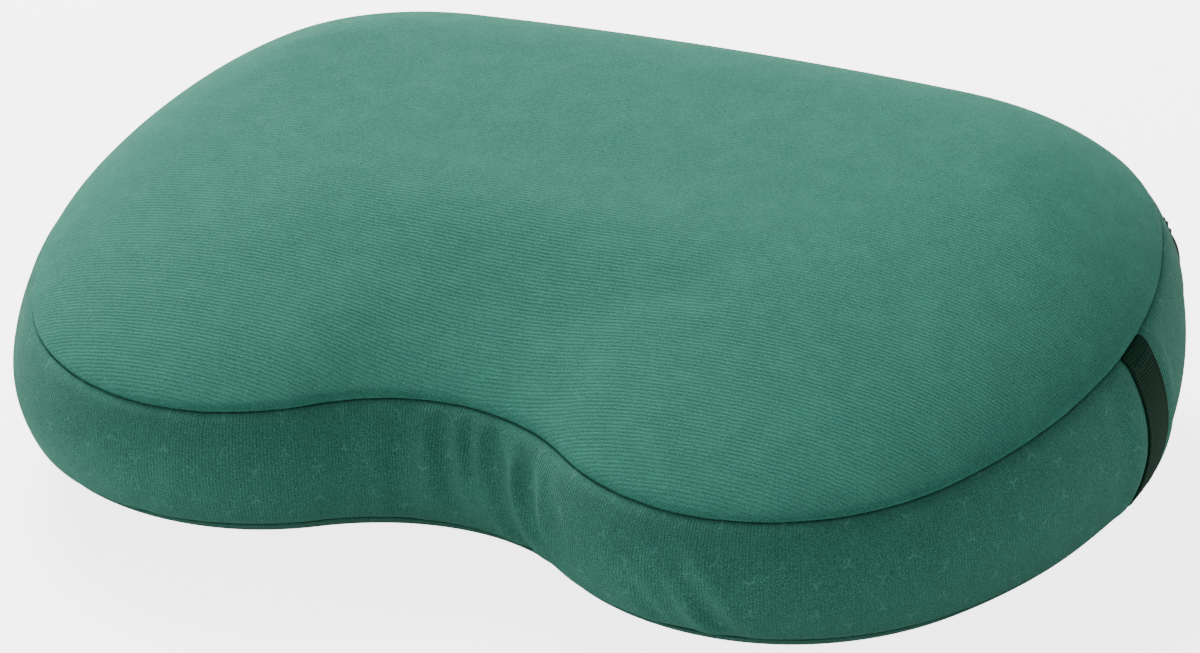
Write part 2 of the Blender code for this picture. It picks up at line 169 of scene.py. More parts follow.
def seamPlane(y):
    share = y / outline["depth"] + 0.5
    return cover["frontSeam"] + (cover["backSeam"] - cover["frontSeam"]) * share


def bandPoint(distance, share):
    edge, outward = outlineAt(distance)
    top = seamPlane(edge.y)
    spot = edge + outward * (cover["flare"] * share + cover["bulge"] * arch(share))
    spot.z = top + (cover["bottomSeam"] - top) * share
    return spot


def bandShare(distance, height):
    top = seamPlane(outlineAt(distance)[0].y)
    return (top - height) / (top - cover["bottomSeam"])


def bandNormal(distance, share):
    step = 0.001
    along = bandPoint(distance + step, share) - bandPoint(distance - step, share)
    down = bandPoint(distance, share + 0.01) - bandPoint(distance, share - 0.01)
    return along.cross(down).normalized()


def crownNormal(distance, share):
    step = 0.001
    share = min(0.97, max(0.01, share))
    along = crownPoint(distance + step, share) - crownPoint(distance - step, share)
    inward = crownPoint(distance, share + 0.01) - crownPoint(distance, share - 0.01)
    normal = along.cross(inward).normalized()
    return normal if normal.z > 0 else -normal


def spineAt(distance, edge):
    # The flattened oval that the rows draw in to.
    across = cover["spineDepth"] * math.cos(2 * math.pi * distance / girth)
    return Vector((edge.x * cover["spineLength"], cover["spineY"] + across, 0))


def crownPoint(distance, share):
    edge = outlineAt(distance)[0]
    spot = edge.lerp(spineAt(distance, edge), share)
    spot.z = seamPlane(spot.y) + cover["crown"] * (1 - (1 - share) ** 2) ** cover["fullness"]
    return spot


def basePoint(distance, share):
    # From the bottom seam round the rim, then in along the flat face that the pillow rests on.
    edge, outward = outlineAt(distance)
    rim = cover["rimShare"]
    turned = min(1.0, share / rim)
    spot = edge + outward * (cover["flare"] - cover["foot"] * turned)
    if share > rim:
        spot = spot.lerp(spineAt(distance, edge), (share - rim) / (1 - rim))
    spot.z = cover["bottomSeam"] * (1 - turned) ** 2
    return spot


def rowShares(count, dense, closeBoth):
    # Shares from 0 to 1 that crowd together at the first end, or at both.
    shares = []
    for index in range(count + 1):
        share = index / count
        if closeBoth:
            even = 0.5 - 0.5 * math.cos(math.pi * share)
        else:
            even = share ** 2
        shares.append(share * (1 - dense) + even * dense)
    return shares


def columnDistances():
    zipPart = [zipHalf * step / cover["zipColumns"] for step in range(cover["zipColumns"])]
    foldStart = halfLength - cover["foldReach"]
    wrapStep = (foldStart - zipHalf) / cover["wrapColumns"]
    foldStep = cover["foldReach"] / cover["foldColumns"]
    wrapPart = [zipHalf + wrapStep * step for step in range(cover["wrapColumns"])]
    foldPart = [foldStart + foldStep * step for step in range(cover["foldColumns"] + 1)]
    half = zipPart + wrapPart + foldPart
    return half + [girth - distance for distance in half[-2::-1]]


columns = columnDistances()
panels = {
    "crown": {"rows": rowShares(34, 0.85, False), "point": crownPoint},
    "band": {"rows": rowShares(24, 0.75, True), "point": bandPoint},
    "base": {"rows": rowShares(16, 0.55, False), "point": basePoint},
}


def clothGrid(panel, place, keep=None, tucked=False):
    # A grid laid round the outline. Its UV map holds the distance along and the height, in metres.
    # A tucked panel has one more row at each seam, turned in under its neighbour.
    rows = ([-1.0] if tucked else []) + panel["rows"]
    if tucked and panel["point"] is bandPoint:
        rows = rows + [2.0]
    cloth = bmesh.new()
    bmesh.ops.create_grid(cloth, x_segments=len(columns) - 1, y_segments=len(rows) - 1, size=0.5)
    column = cloth.verts.layers.int.new("column")
    row = cloth.verts.layers.int.new("row")
    for vert in cloth.verts:
        vert[column] = round((vert.co.x + 0.5) * (len(columns) - 1))
        vert[row] = round((0.5 - vert.co.y) * (len(rows) - 1))
        vert.co = place(columns[vert[column]], rows[vert[row]])
    layout = cloth.loops.layers.uv.new("cloth")
    for face in cloth.faces:
        for loop in face.loops:
            loop[layout].uv = (columns[loop.vert[column]], loop.vert.co.z)
    if keep:
        extra = [face for face in cloth.faces if not keep(face, column)]
        bmesh.ops.delete(cloth, geom=extra, context="FACES")
    if panel["point"] is not bandPoint:
        # The innermost row is a thin oval, which closes straight across.
        ring = [vert for vert in cloth.verts if vert[row] == len(rows) - 1]
        ring.sort(key=lambda vert: vert[column])
        for index in range(1, len(ring) // 2):
            cloth.faces.new([ring[index - 1], ring[index], ring[-1 - index], ring[-index]])
        middle = len(ring) // 2
        cloth.faces.new(ring[middle - 1:middle + 2])
    bmesh.ops.remove_doubles(cloth, verts=cloth.verts, dist=1e-6)
    return cloth


def meshObject(name, mesh, material=None, body="pillow"):
    data = bpy.data.meshes.new(name)
    mesh.to_mesh(data)
    mesh.free()
    made = bpy.data.objects.new(name, data)
    bpy.context.scene.collection.objects.link(made)
    data.shade_smooth()
    if material:
        data.materials.append(material)
    if body:
        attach(made, body)
    return made


# What is fastened to the band, which holds the fabric still around it.
valve = {
    "turn": math.radians(40),
    "height": 0.046,
    "clear": 0.024,
    "hole": 0.0122,
    "ribRadius": 0.0070,
    "ribHeight": 0.0049,
    "steps": 64,
    "edge": 0.0002,
    "lugWidth": 0.0050,
    "bindingRadius": 0.0131,
    "bindingStitches": 34,
}
loops = {
    "y": 0.003,
    "width": 0.015,
    "thickness": 0.0012,
    "press": 0.0011,  # how far the webbing presses the band in, and the band swells beside it
    "swell": 0.0006,
    "swellAt": 0.0118,
    "lift": 0.0014,
}
label = {"turn": math.radians(34), "width": 0.026, "share": 0.62, "thickness": 0.0004, "proud": 0.0009}
shoulderStart = arcLengths[0] + arcLengths[1]
valveDistance = shoulderStart + (valve["turn"] - arcs[2][2]) * outline["shoulderRadius"]
valveSpot = bandPoint(valveDistance, bandShare(valveDistance, valve["height"]))
loopTurn = math.acos((loops["y"] - outline["widestY"]) / outline["sideRadius"])
loopDistance = sum(arcLengths[:3]) + (loopTurn - arcs[3][2]) * outline["sideRadius"]
labelDistance = girth - shoulderStart - (label["turn"] - arcs[2][2]) * outline["shoulderRadius"]


def freedom(distance, spot):
    # 1 where the fabric is free to move, 0 where the zip, valve, loops or label hold it.
    fromZip = min(distance, girth - distance) - zipHalf
    free = smoothStep(0.004, 0.016, fromZip)
    free *= smoothStep(valve["clear"], valve["clear"] + 0.012, (spot - valveSpot).length)
    for middle in (loopDistance, girth - loopDistance):
        free *= smoothStep(0.013, 0.022, abs(distance - middle))
    return free * smoothStep(0.015, 0.024, abs(distance - labelDistance))


def startShape(panel, point):
    # The panel's shape, made smaller by the amount that the pressure gives back.
    def place(distance, share):
        spot = point(distance, share)
        if panel == "crown":
            spot.z -= simulation["start"] * smoothStep(0.0, 0.2, share)
        elif panel == "band":
            spot -= outlineAt(distance)[1] * simulation["start"] * arch(share)
        return spot
    return place


def simulateCover():
    # One closed shell of all three panels, blown up by its filling while the seams hold.
    shell = bmesh.new()
    for name, panel in panels.items():
        grid = clothGrid(panel, startShape(name, panel["point"]))
        data = bpy.data.meshes.new(name)
        grid.to_mesh(data)
        grid.free()
        shell.from_mesh(data)
        bpy.data.meshes.remove(data)
    bmesh.ops.remove_doubles(shell, verts=shell.verts, dist=1e-6)
    bmesh.ops.recalc_face_normals(shell, faces=shell.faces)
    column = shell.verts.layers.int["column"]
    held, slack = [], []
    for vert in shell.verts:
        edge = outlineAt(columns[vert[column]])[0]
        fromOutline = (flattened(vert.co) - edge).length
        fromTop = abs(vert.co.z - seamPlane(edge.y)) + fromOutline
        onBottom = vert.co.z < cover["bottomSeam"] + 0.0002
        if fromTop < 0.0004 or onBottom:
            held.append(vert.index)
        fromNotch = abs(columns[vert[column]] - halfLength)
        onBand = not onBottom and vert.co.z < seamPlane(edge.y)
        if onBand and fromOutline < 0.012:
            slack.append((vert.index, 1 - smoothStep(*simulation["slackFrom"], fromNotch)))
    start = [vert.co.copy() for vert in shell.verts]
    cloth = meshObject("shell", shell, body=None)
    pins = cloth.vertex_groups.new(name="held")
    pins.add(held, 1.0, "REPLACE")
    loose = cloth.vertex_groups.new(name="slack")
    for index, weight in slack:
        loose.add([index], weight, "REPLACE")
    modifier = cloth.modifiers.new("Cloth", "CLOTH")
    settings = modifier.settings
    settings.quality = simulation["quality"]
    settings.mass = simulation["mass"]
    settings.effector_weights.gravity = 0
    settings.use_pressure = True
    settings.uniform_pressure_force = simulation["pressure"]
    settings.tension_stiffness = settings.compression_stiffness = simulation["tension"]
    settings.shear_stiffness = simulation["shear"]
    settings.bending_stiffness = simulation["bending"]
    settings.vertex_group_mass = "held"
    settings.vertex_group_shrink = "slack"
    settings.shrink_min = 0.0
    settings.shrink_max = simulation["slack"]
    modifier.collision_settings.use_collision = False
    modifier.point_cache.frame_start = 1
    modifier.point_cache.frame_end = simulation["frames"]
    for step in range(1, simulation["frames"] + 1):
        bpy.context.scene.frame_set(step)
    settled = cloth.evaluated_get(bpy.context.evaluated_depsgraph_get()).data
    travels = []
    for vert, before in zip(settled.vertices, start):
        travel = vert.co - before
        if travel.length > simulation["travel"]:
            travel *= simulation["travel"] / travel.length
        travels.append(travel)
    bpy.data.objects.remove(cloth)
    bpy.context.scene.frame_set(1)
    lookup = kdtree.KDTree(len(start))
    for index, spot in enumerate(start):
        lookup.insert(spot, index)
    lookup.balance()
    return lookup, travels


lookup, travels = simulateCover()
print("cover simulated")

# Folds in the band. Each starts and ends at a distance past the notch's middle, a share of the way down.
folds = [
    {"from": (0.0152, 0.12), "to": (0.0180, 0.85), "width": 0.0044, "depth": 0.0023},
    {"from": (0.0040, 0.12), "to": (-0.0026, 0.80), "width": 0.0034, "depth": 0.0017},
    {"from": (-0.0060, 0.10), "to": (-0.0100, 0.45), "width": 0.0024, "depth": 0.0010},
    {"from": (-0.0186, 0.20), "to": (-0.0275, 0.92), "width": 0.0040, "depth": 0.0030},
    {"from": (-0.0345, 0.25), "to": (-0.0450, 0.80), "width": 0.0036, "depth": 0.0031},
    {"from": (-0.0440, 0.15), "to": (-0.0560, 0.45), "width": 0.0026, "depth": 0.0008},
    {"from": (-0.0835, 0.55), "to": (-0.0905, 0.95), "width": 0.0034, "depth": 0.0020},
    {"from": (-0.0900, 0.42), "to": (-0.0970, 0.95), "width": 0.0038, "depth": 0.0029},
    {"from": (-0.0950, 0.28), "to": (-0.1090, 0.90), "width": 0.0042, "depth": 0.0026},
    {"from": (-0.1258, 0.05), "to": (-0.1276, 0.30), "width": 0.0016, "depth": 0.0007},
    {"from": (0.0330, 0.15), "to": (0.0420, 0.85), "width": 0.0036, "depth": 0.0012},
    {"from": (0.0900, 0.40), "to": (0.1010, 0.95), "width": 0.0036, "depth": 0.0010},
]
ridge = {"near": 0.55, "far": 0.25, "apart": 1.9, "gathers": 0.0004}  # apart is in fold widths


def foldDepth(distance, share):
    # Creases, each with the ridges of fabric that it pushes up beside it, and faint gathers between.
    fromNotch = distance - halfLength
    depth = 0.0
    for fold in folds:
        (startAt, high), (endAt, low) = fold["from"], fold["to"]
        run = (share - high) / (low - high)
        if not -0.4 < run < 1.4:
            continue
        across = (fromNotch - startAt - (endAt - startAt) * run) / fold["width"]
        if abs(across) < 5:
            crease = math.exp(-across ** 2)
            crease -= ridge["near"] * math.exp(-(across + ridge["apart"]) ** 2)
            crease -= ridge["far"] * math.exp(-(across - ridge["apart"]) ** 2)
            depth += fold["depth"] * crease * smoothStep(-0.3, 0.3, run) * smoothStep(1.3, 0.7, run)
    gathers = noise.noise(Vector((fromNotch * 150, share * 1.2, 3.3)))
    return depth + ridge["gathers"] * gathers * (1 - smoothStep(0.03, 0.09, abs(fromNotch))) * arch(share)


tucks = {"crown": -0.0003, "band": -0.0002, "base": -0.0006}  # how far each seam allowance turns down
puckerSeeds = {"crown": 1.5, "band": 4.5, "base": 8.5}


def finishedPlace(name, point):
    # The panel's shape after the simulation, with its folds, dips and puckers.
    start = startShape(name, point)

    def place(distance, share):
        if not 0 <= share <= 1:
            drop = tucks[name] if share < 0 else 0.0006
            inward = outlineAt(distance)[1] * cover["allowance"]
            return place(distance, min(1.0, max(0.0, share))) - inward + upward * drop
        spot = point(distance, share)
        edge, outward = outlineAt(distance)
        free = freedom(distance, spot) if name == "band" else 1.0
        if name == "crown":
            free = smoothStep(0.0, 0.03, share) * smoothStep(0.75, 0.4, share)
        if name == "base":
            free = 0.0
        moved = Vector()
        if travels and free > 0:
            began = start(distance, share)
            moved = (began + travels[lookup.find(began)[1]] - spot) * free
        if name == "crown":
            # The core's skin is close under the crown, so the fabric hardly sinks.
            normal = crownNormal(distance, share)
            sunk = min(0.0, moved.dot(normal))
            moved -= normal * (sunk + cover["sink"] * (1 - math.exp(sunk / cover["sink"])))
        if name == "band":
            # The core's wall is behind the band, and stops the folds from going deeper.
            moved -= outward * foldDepth(distance, share) * free
            sunk = max(0.0, -moved.dot(outward))
            deepest = cover["deepestFold"]
            moved += outward * (sunk - deepest * math.tanh(sunk / deepest))
        spot += moved
        if name == "band":
            height = spot.z
            top = seamPlane(edge.y)
            fromTop, fromBottom = top - height, height - cover["bottomSeam"]
            for gap in (fromTop, fromBottom):
                spot -= outward * cover["seamDip"] * math.exp(-(gap / cover["seamReach"]) ** 2)
            spot -= upward * 0.0004 * math.exp(-(fromTop / cover["seamReach"]) ** 2)
            for middle in (loopDistance, girth - loopDistance):
                across = abs(distance - middle)
                spot -= outward * loops["press"] * (1 - smoothStep(0.0062, 0.0090, across))
                spot += outward * loops["swell"] * math.exp(-((across - loops["swellAt"]) / 0.0028) ** 2)
        elif name == "crown":
            reach = (flattened(spot) - edge).length
            dip = cover["seamDip"] * math.exp(-(reach / (1.3 * cover["seamReach"])) ** 2)
            spot -= (outward * 0.8 + upward * 0.1) * dip
        else:
            gap = cover["bottomSeam"] - spot.z
            spot -= outward * cover["seamDip"] * math.exp(-(gap / cover["seamReach"]) ** 2)
        if name != "base" or spot.z > 0.004:
            wave = noise.noise(edge * 160 + upward * puckerSeeds[name])
            near = math.exp(-abs(spot.z - seamPlane(edge.y)) / 0.004) if name != "base" else 0
            spot += outward * wave * cover["pucker"] * near
        return spot
    return place


def thicken(piece, thickness, detail=1):
    solid = piece.modifiers.new("Thickness", "SOLIDIFY")
    solid.thickness = thickness
    solid.offset = -1
    if detail:
        rounded = piece.modifiers.new("Smooth", "SUBSURF")
        rounded.levels = rounded.render_levels = detail


def addNode(tree, kind, settings=None, links=None, output=0):
    # One node with its settings, and what goes into each input: another node's output or a value.
    node = tree.nodes.new("ShaderNode" + kind)
    for name, value in (settings or {}).items():
        setattr(node, name, value)
    for name, value in (links or {}).items():
        if isinstance(value, bpy.types.NodeSocket):
            tree.links.new(value, node.inputs[name])
        else:
            node.inputs[name].default_value = value
    return node.outputs[output]


smooth = {"interpolation_type": "SMOOTHSTEP"}
rgba = {"data_type": "RGBA"}
multiply = {"operation": "MULTIPLY"}
add = {"operation": "ADD"}
subtract = {"operation": "SUBTRACT"}
onePerStep = math.pi / 10  # the Wave texture's scale that gives one ripple to each step


def newMaterial(name, **constants):
    made = bpy.data.materials.new(name)
    made.use_nodes = True
    shader = made.node_tree.nodes["Principled BSDF"]
    for socket, value in constants.items():
        shader.inputs[socket.replace("_", " ")].default_value = value
    return made, made.node_tree, shader


def millimetres(tree, pitch, uv=None, stretch=(1, 1, 1)):
    # Coordinates in steps of the pitch: of the object, or of the piece's own flat cloth.
    if uv:
        source = addNode(tree, "UVMap", {"uv_map": uv}, output="UV")
    else:
        source = addNode(tree, "TexCoord", output="Object")
    scale = [1000 * share / pitch for share in stretch]
    return addNode(tree, "Mapping", None, {"Vector": source, "Scale": scale})


def layered(tree, colour, layers):
    # Lays colours over one another. Each shows as its pattern goes from one value to another.
    for pattern, low, high, most, over in layers:
        share = addNode(tree, "MapRange", smooth,
                        {"Value": pattern, "From Min": low, "From Max": high, "To Max": most})
        colour = addNode(tree, "Mix", rgba, {0: share, 6: colour, 7: over}, 2)
    return colour


def finish(tree, surface, colour, relief, roughness=None):
    # What each material ends with: a colour, a relief and sometimes an uneven roughness.
    height, strength, distance = relief
    bump = addNode(tree, "Bump", None, {"Height": height, "Strength": strength, "Distance": distance})
    tree.links.new(colour, surface.inputs["Base Color"])
    tree.links.new(bump, surface.inputs["Normal"])
    if roughness:
        pattern, low, high = roughness
        uneven = addNode(tree, "MapRange", smooth, {"Value": pattern, "From Min": 0.3, "From Max": 0.7,
                                                    "To Min": low, "To Max": high})
        tree.links.new(uneven, surface.inputs["Roughness"])


knit = {
    "courses": 1.25,  # the top's rows of loops
    "wales": 1.0,  # the band's columns of loops
    "mottle": 9.0,
    "cloud": 45.0,
    "fibre": 1.0,
    "dash": 1.3,  # across the short dark dashes between the loops
    "wander": 14.0,
    "patch": 60.0,
    "honeycomb": 18.0,  # across one cell
    "arm": 2.3,
    "line": 0.5,
}


def honeycombMarks(tree, flat):
    # Three short arms at each corner of a regular honeycomb with upright sides.
    root = math.sqrt(3)
    cells, lengths = [], []
    for shift in (0.0, 0.5):
        moved = addNode(tree, "VectorMath", add, {0: flat, 1: (shift, shift * root, 0)})
        wrapped = addNode(tree, "VectorMath", {"operation": "WRAP"},
                          {0: moved, 1: (0.5, root / 2, 1), 2: (-0.5, -root / 2, 0)})
        cells.append(addNode(tree, "VectorMath", multiply, {0: wrapped, 1: (1, 1, 0)}))
        lengths.append(addNode(tree, "VectorMath", {"operation": "LENGTH"}, {0: cells[-1]}, "Value"))
    isSecond = addNode(tree, "Math", {"operation": "LESS_THAN"}, {0: lengths[1], 1: lengths[0]})
    nearer = addNode(tree, "Mix", {"data_type": "VECTOR"}, {0: isSecond, 4: cells[0], 5: cells[1]}, 1)
    size = addNode(tree, "VectorMath", {"operation": "ABSOLUTE"}, {0: nearer})
    across, along = addNode(tree, "SeparateXYZ", None, {0: size}).node.outputs[:2]
    slanted = addNode(tree, "Math", add, {
        0: addNode(tree, "Math", multiply, {0: across, 1: 0.5}),
        1: addNode(tree, "Math", multiply, {0: along, 1: root / 2})})
    furthest = addNode(tree, "Math", {"operation": "MAXIMUM"}, {0: across, 1: slanted})
    fromEdge = addNode(tree, "Math", subtract, {0: 0.5, 1: furthest})
    corners = [addNode(tree, "VectorMath", {"operation": "DISTANCE"}, {0: size, 1: corner}, "Value")
               for corner in ((0, root / 3, 0), (0.5, root / 6, 0))]
    fromCorner = addNode(tree, "Math", {"operation": "MINIMUM"}, {0: corners[0], 1: corners[1]})
    line = knit["line"] / knit["honeycomb"]
    arm = knit["arm"] / knit["honeycomb"]
    onLine, onArm = [addNode(tree, "MapRange", smooth, {"Value": value, "From Min": low, "From Max": high,
                                                        "To Min": 1.0, "To Max": 0.0})
                     for value, low, high in ((fromEdge, line * 0.3, line), (fromCorner, arm * 0.6, arm))]
    return addNode(tree, "Math", multiply, {0: onLine, 1: onArm})


def knitCloth(name, colours, ridges, uv=None, marks=False, **shader):
    made, tree, surface = newMaterial(name, **shader)
    shade, middle, light, fuzz, deep = [linearColour(colour) for colour in colours]
    mottle = addNode(tree, "TexNoise", None,
                     {"Vector": millimetres(tree, knit["mottle"]), "Detail": 5.0, "Roughness": 0.62})
    cloud = addNode(tree, "TexNoise", None, {"Vector": millimetres(tree, knit["cloud"]), "Detail": 2.0})
    colour = layered(tree, shade, [(mottle, 0.3, 0.6, 1.0, middle), (cloud, 0.42, 0.68, 0.55, light)])
    fibrePlace = millimetres(tree, knit["fibre"], stretch=ridges["fibre"])
    fibre = addNode(tree, "TexNoise", None, {"Vector": fibrePlace, "Detail": 3.0, "Roughness": 0.7})
    # The rows wander, and the gaps between them are painted shade: broken dark dashes that come and go in
    # patches.
    wander = addNode(tree, "TexNoise", None, {"Vector": millimetres(tree, knit["wander"]), "Detail": 1.0},
                     "Color")
    moved = addNode(tree, "VectorMath", {"operation": "MULTIPLY_ADD"},
                    {0: wander, 1: (ridges["wander"],) * 3, 2: millimetres(tree, ridges["pitch"], uv)})
    rows = addNode(tree, "TexWave", {"bands_direction": ridges["across"]},
                   {"Vector": moved, "Scale": onePerStep, "Distortion": 0.35, "Detail": 2.0,
                    "Detail Scale": 1.2}, "Fac")
    rowShade = addNode(tree, "MapRange", smooth, {"Value": rows, "From Min": 0.1, "From Max": 0.9})
    patches = addNode(tree, "TexNoise", None, {"Vector": millimetres(tree, knit["patch"]), "Detail": 1.0})
    dashPlace = millimetres(tree, knit["dash"], stretch=ridges["dash"])
    dashes = addNode(tree, "TexNoise", None, {"Vector": dashPlace, "Detail": 2.0})
    between = addNode(tree, "Math", subtract, {0: 1.0, 1: rowShade})
    for pattern, low, high, least, most in ((patches, 0.35, 0.62, ridges["least"], ridges["most"]),
                                            (dashes, 0.36, 0.6, 0.2, 1.0)):
        seen = addNode(tree, "MapRange", smooth, {"Value": pattern, "From Min": low, "From Max": high,
                                                  "To Min": least, "To Max": most})
        between = addNode(tree, "Math", multiply, {0: between, 1: seen})
    # Painted shade: between the rows the colour is drawn towards the darkest tone.
    colour = addNode(tree, "Mix", rgba, {0: between, 6: colour, 7: shade}, 2)
    colour = layered(tree, colour, [(fibre, 0.50, 0.64, 0.85, fuzz), (fibre, 0.50, 0.36, 0.9, deep)])
    height = addNode(tree, "Math", add, {
        0: addNode(tree, "Math", multiply, {0: rowShade, 1: ridges["most"]}),
        1: addNode(tree, "Math", multiply, {0: fibre, 1: 1.3})})
    if marks:
        # Pale honeycomb marks, broken up by the mottle: drawn in the colour only, with no relief of their
        # own.
        broken = addNode(tree, "MapRange", smooth, {"Value": mottle, "From Min": 0.38, "From Max": 0.6,
                                                    "To Min": 0.15, "To Max": 0.6})
        corners = honeycombMarks(tree, millimetres(tree, knit["honeycomb"], uv))
        mark = addNode(tree, "Math", multiply, {0: corners, 1: broken})
        colour = addNode(tree, "Mix", rgba, {0: mark, 6: colour, 7: linearColour(marks)}, 2)
    finish(tree, surface, colour, (height, 0.5, 0.0006), (mottle, 0.82, 0.96))
    return made


# Brushed polyester jersey: a soft raised nap that catches light at grazing angles, over fine rows.
brushedJersey = knitCloth(
    "brushedPolyesterJersey", ("#277160", "#2F7E6C", "#378974", "#60AF9A", "#1A594A"),
    {"pitch": knit["courses"], "across": "Y", "wander": 0.7, "least": 0.12, "most": 0.47,
     "fibre": (1, 1, 1), "dash": (0.3, 1, 1)},
    Specular_IOR_Level=0.2, Sheen_Weight=0.13, Sheen_Roughness=0.4, Sheen_Tint=linearColour("#8FCDBA"))
# Plain jersey of the same yarn: upright columns of loops, a little darker because it isn't brushed.
upright = {"pitch": knit["wales"], "across": "X", "wander": 0.35, "least": 0.4, "most": 0.9,
           "fibre": (1, 1, 0.6), "dash": (1, 1, 0.3)}
plainFinish = {"Specular_IOR_Level": 0.25, "Sheen_Roughness": 0.5, "Sheen_Tint": linearColour("#8CC4B3")}
plainJersey = knitCloth("plainPolyesterJersey", ("#276A58", "#2F7765", "#347F6C", "#5AA793", "#16463A"),
                        upright, uv="cloth", marks="#56988A", Sheen_Weight=0.22, **plainFinish)
# The same jersey without the pale honeycomb marks, for the underside and for the zip's panels.
baseJersey = knitCloth("plainPolyesterJerseyUnderside",
                       ("#23604F", "#296656", "#2D6C5B", "#55937F", "#174539"),
                       {**upright, "fibre": (1, 1, 1), "dash": (1, 0.3, 1)}, Sheen_Weight=0.2, **plainFinish)
zipJersey = knitCloth("plainPolyesterJerseyHemmed", ("#23604F", "#2B6B5A", "#2F715F", "#5A9D8B", "#174539"),
                      upright, uv="cloth", Sheen_Weight=0.22, **plainFinish)


def ribbon(name, dark, lightColour, rib, uv, roughness, **shader):
    # Woven tape: ribs across it, crossed by finer warp threads. The colour is paler on the ribs and darker in
    # the hollows between them: painted light and shade, besides the bump.
    made, tree, surface = newMaterial(name, Roughness=roughness, **shader)
    ribs, warp = [addNode(tree, "TexWave", {"bands_direction": direction},
                          {"Vector": millimetres(tree, pitch, uv), "Scale": onePerStep, "Distortion": 0.3},
                          "Fac")
                  for direction, pitch in (("Y", rib), ("X", rib * 0.8))]
    halfWarp = addNode(tree, "Math", multiply, {0: warp, 1: 0.5})
    warpShade = addNode(tree, "Math", add, {0: halfWarp, 1: 0.5})
    weave = addNode(tree, "Math", multiply, {0: ribs, 1: warpShade})
    lint = addNode(tree, "TexNoise", None, {"Vector": millimetres(tree, 1.2), "Detail": 4.0})
    pale = linearColour(lightColour)
    colour = addNode(tree, "Mix", rgba, {0: weave, 6: linearColour(dark), 7: pale}, 2)
    colour = layered(tree, colour, [(lint, 0.55, 0.75, 0.3, pale)])
    finish(tree, surface, colour, (weave, 0.6, 0.0004))
    return made


# Nylon webbing: hard, close ribs with a slight silk gloss, dyed almost black green.
webbing = ribbon("nylonWebbing", "#05261A", "#0A3D29", 0.9, "cloth", 0.75, Specular_IOR_Level=0.12)
# Woven polyester zip tape: fine, flat and matt.
zipTape = ribbon("wovenPolyesterZipTape", "#174A3B", "#21604E", 0.7, "cloth", 0.8, Specular_IOR_Level=0.3)
# Grosgrain binding round the valve's window.
binding = ribbon("grosgrainBinding", "#0C3327", "#17493A", 0.9, None, 0.75, Specular_IOR_Level=0.3)
# Woven satin: pale, smooth, with a soft stripe of light.
satin = ribbon("wovenPolyesterSatin", "#C9CBC6", "#E4E5E1", 0.35, "cloth", 0.42,
               Specular_IOR_Level=0.5, Sheen_Weight=0.3)
# Spun polyester thread: matt, twisted.
thread = ribbon("spunPolyesterThread", "#123C2F", "#1E5645", 0.4, None, 0.7, Specular_IOR_Level=0.4)
# A heavier polyester thread, a shade lighter than the tape it holds.
tackThread = ribbon("bondedPolyesterThread", "#1C4B3B", "#3A7360", 0.4, None, 0.6, Specular_IOR_Level=0.4)


def hardFinish(name, dark, lightColour, grain, relief, low, high, **shader):
    # A hard skin: colour that drifts a little, fine relief, and roughness that varies with handling.
    made, tree, surface = newMaterial(name, **shader)
    drift, fine = [addNode(tree, "TexNoise", None, {"Vector": millimetres(tree, pitch), "Detail": detail})
                   for pitch, detail in ((6.0, 3.0), (grain, 4.0))]
    colour = addNode(tree, "Mix", rgba, {0: drift, 6: linearColour(dark), 7: linearColour(lightColour)}, 2)
    finish(tree, surface, colour, (fine, relief, 0.0002), (drift, low, high))
    return made


# Extruded nylon monofilament: satin, slightly clear.
coilNylon = hardFinish("nylonZipCoil", "#12382C", "#1B4A3B", 0.5, 0.1, 0.34, 0.46, IOR=1.53)
# Painted zinc die casting: satin enamel with a faint orange peel.
paintedZinc = hardFinish("paintedZincCasting", "#26292A", "#34383A", 0.9, 0.12, 0.3, 0.45,
                         Metallic=0.3, Coat_Weight=0.3, Coat_Roughness=0.25)
# Moulded TPU: matt charcoal with a spark-eroded grain.
mouldedPlastic = hardFinish("mouldedPolyurethane", "#2B2E2F", "#3A3E3F", 0.25, 0.35, 0.42, 0.56, IOR=1.5)
# Moulded silicone: milky and soft.
silicone = hardFinish("mouldedSilicone", "#B9BCB8", "#CFD1CD", 0.4, 0.1, 0.35, 0.5,
                      IOR=1.41, Subsurface_Weight=0.2, Subsurface_Radius=(0.001, 0.001, 0.001))
# Coated polyester taffeta on the core: grey, with the film's dull gloss.
filmLaminate = hardFinish("filmCoatedTaffeta", "#5A5E60", "#74787A", 0.3, 0.4, 0.4, 0.6, IOR=1.5)
# Open-cell polyurethane foam: warm cream, pitted.
opencellFoam = hardFinish("openCellPolyurethaneFoam", "#D3C48E", "#E8DDB0", 1.2, 1.0, 0.9, 1.0,
                          Specular_IOR_Level=0.2)


def makePanel(name, panelName, material, keep, replaced):
    panel = panels[panelName]
    cloth = clothGrid(panel, finishedPlace(panelName, panel["point"]), keep, tucked=True)
    bmesh.ops.recalc_face_normals(cloth, faces=cloth.faces)
    rising = sum(face.normal.z * face.calc_area() for face in cloth.faces)
    outgoing = sum(face.normal.dot(flattened(face.calc_center_median())) * face.calc_area()
                   for face in cloth.faces)
    if {"crown": rising < 0, "base": rising > 0, "band": outgoing < 0}[panelName]:
        bmesh.ops.reverse_faces(cloth, faces=cloth.faces)
    piece = meshObject(name, cloth, material)
    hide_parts(replaced)
    thicken(piece, cover["thickness"])


def onWrap(face, column):
    # The side band runs from one end of the zip round to the other.
    low, high = zipHalf - 1e-6, girth - zipHalf + 1e-6
    return all(low < columns[vert[column]] < high for vert in face.verts)


def onZip(face, column):
    return not onWrap(face, column)


def onBand(face, column):
    # All of the side band but the window that the valve comes through.
    return onWrap(face, column) and (face.calc_center_median() - valveSpot).length >= valve["hole"]


makePanel("top_panel", "crown", brushedJersey, None, "cover_top_panel")
makePanel("side_band", "band", plainJersey, onBand, "cover_side_band")
makePanel("bottom_panel", "base", baseJersey, None, "cover_bottom_panel")
print("panels made")

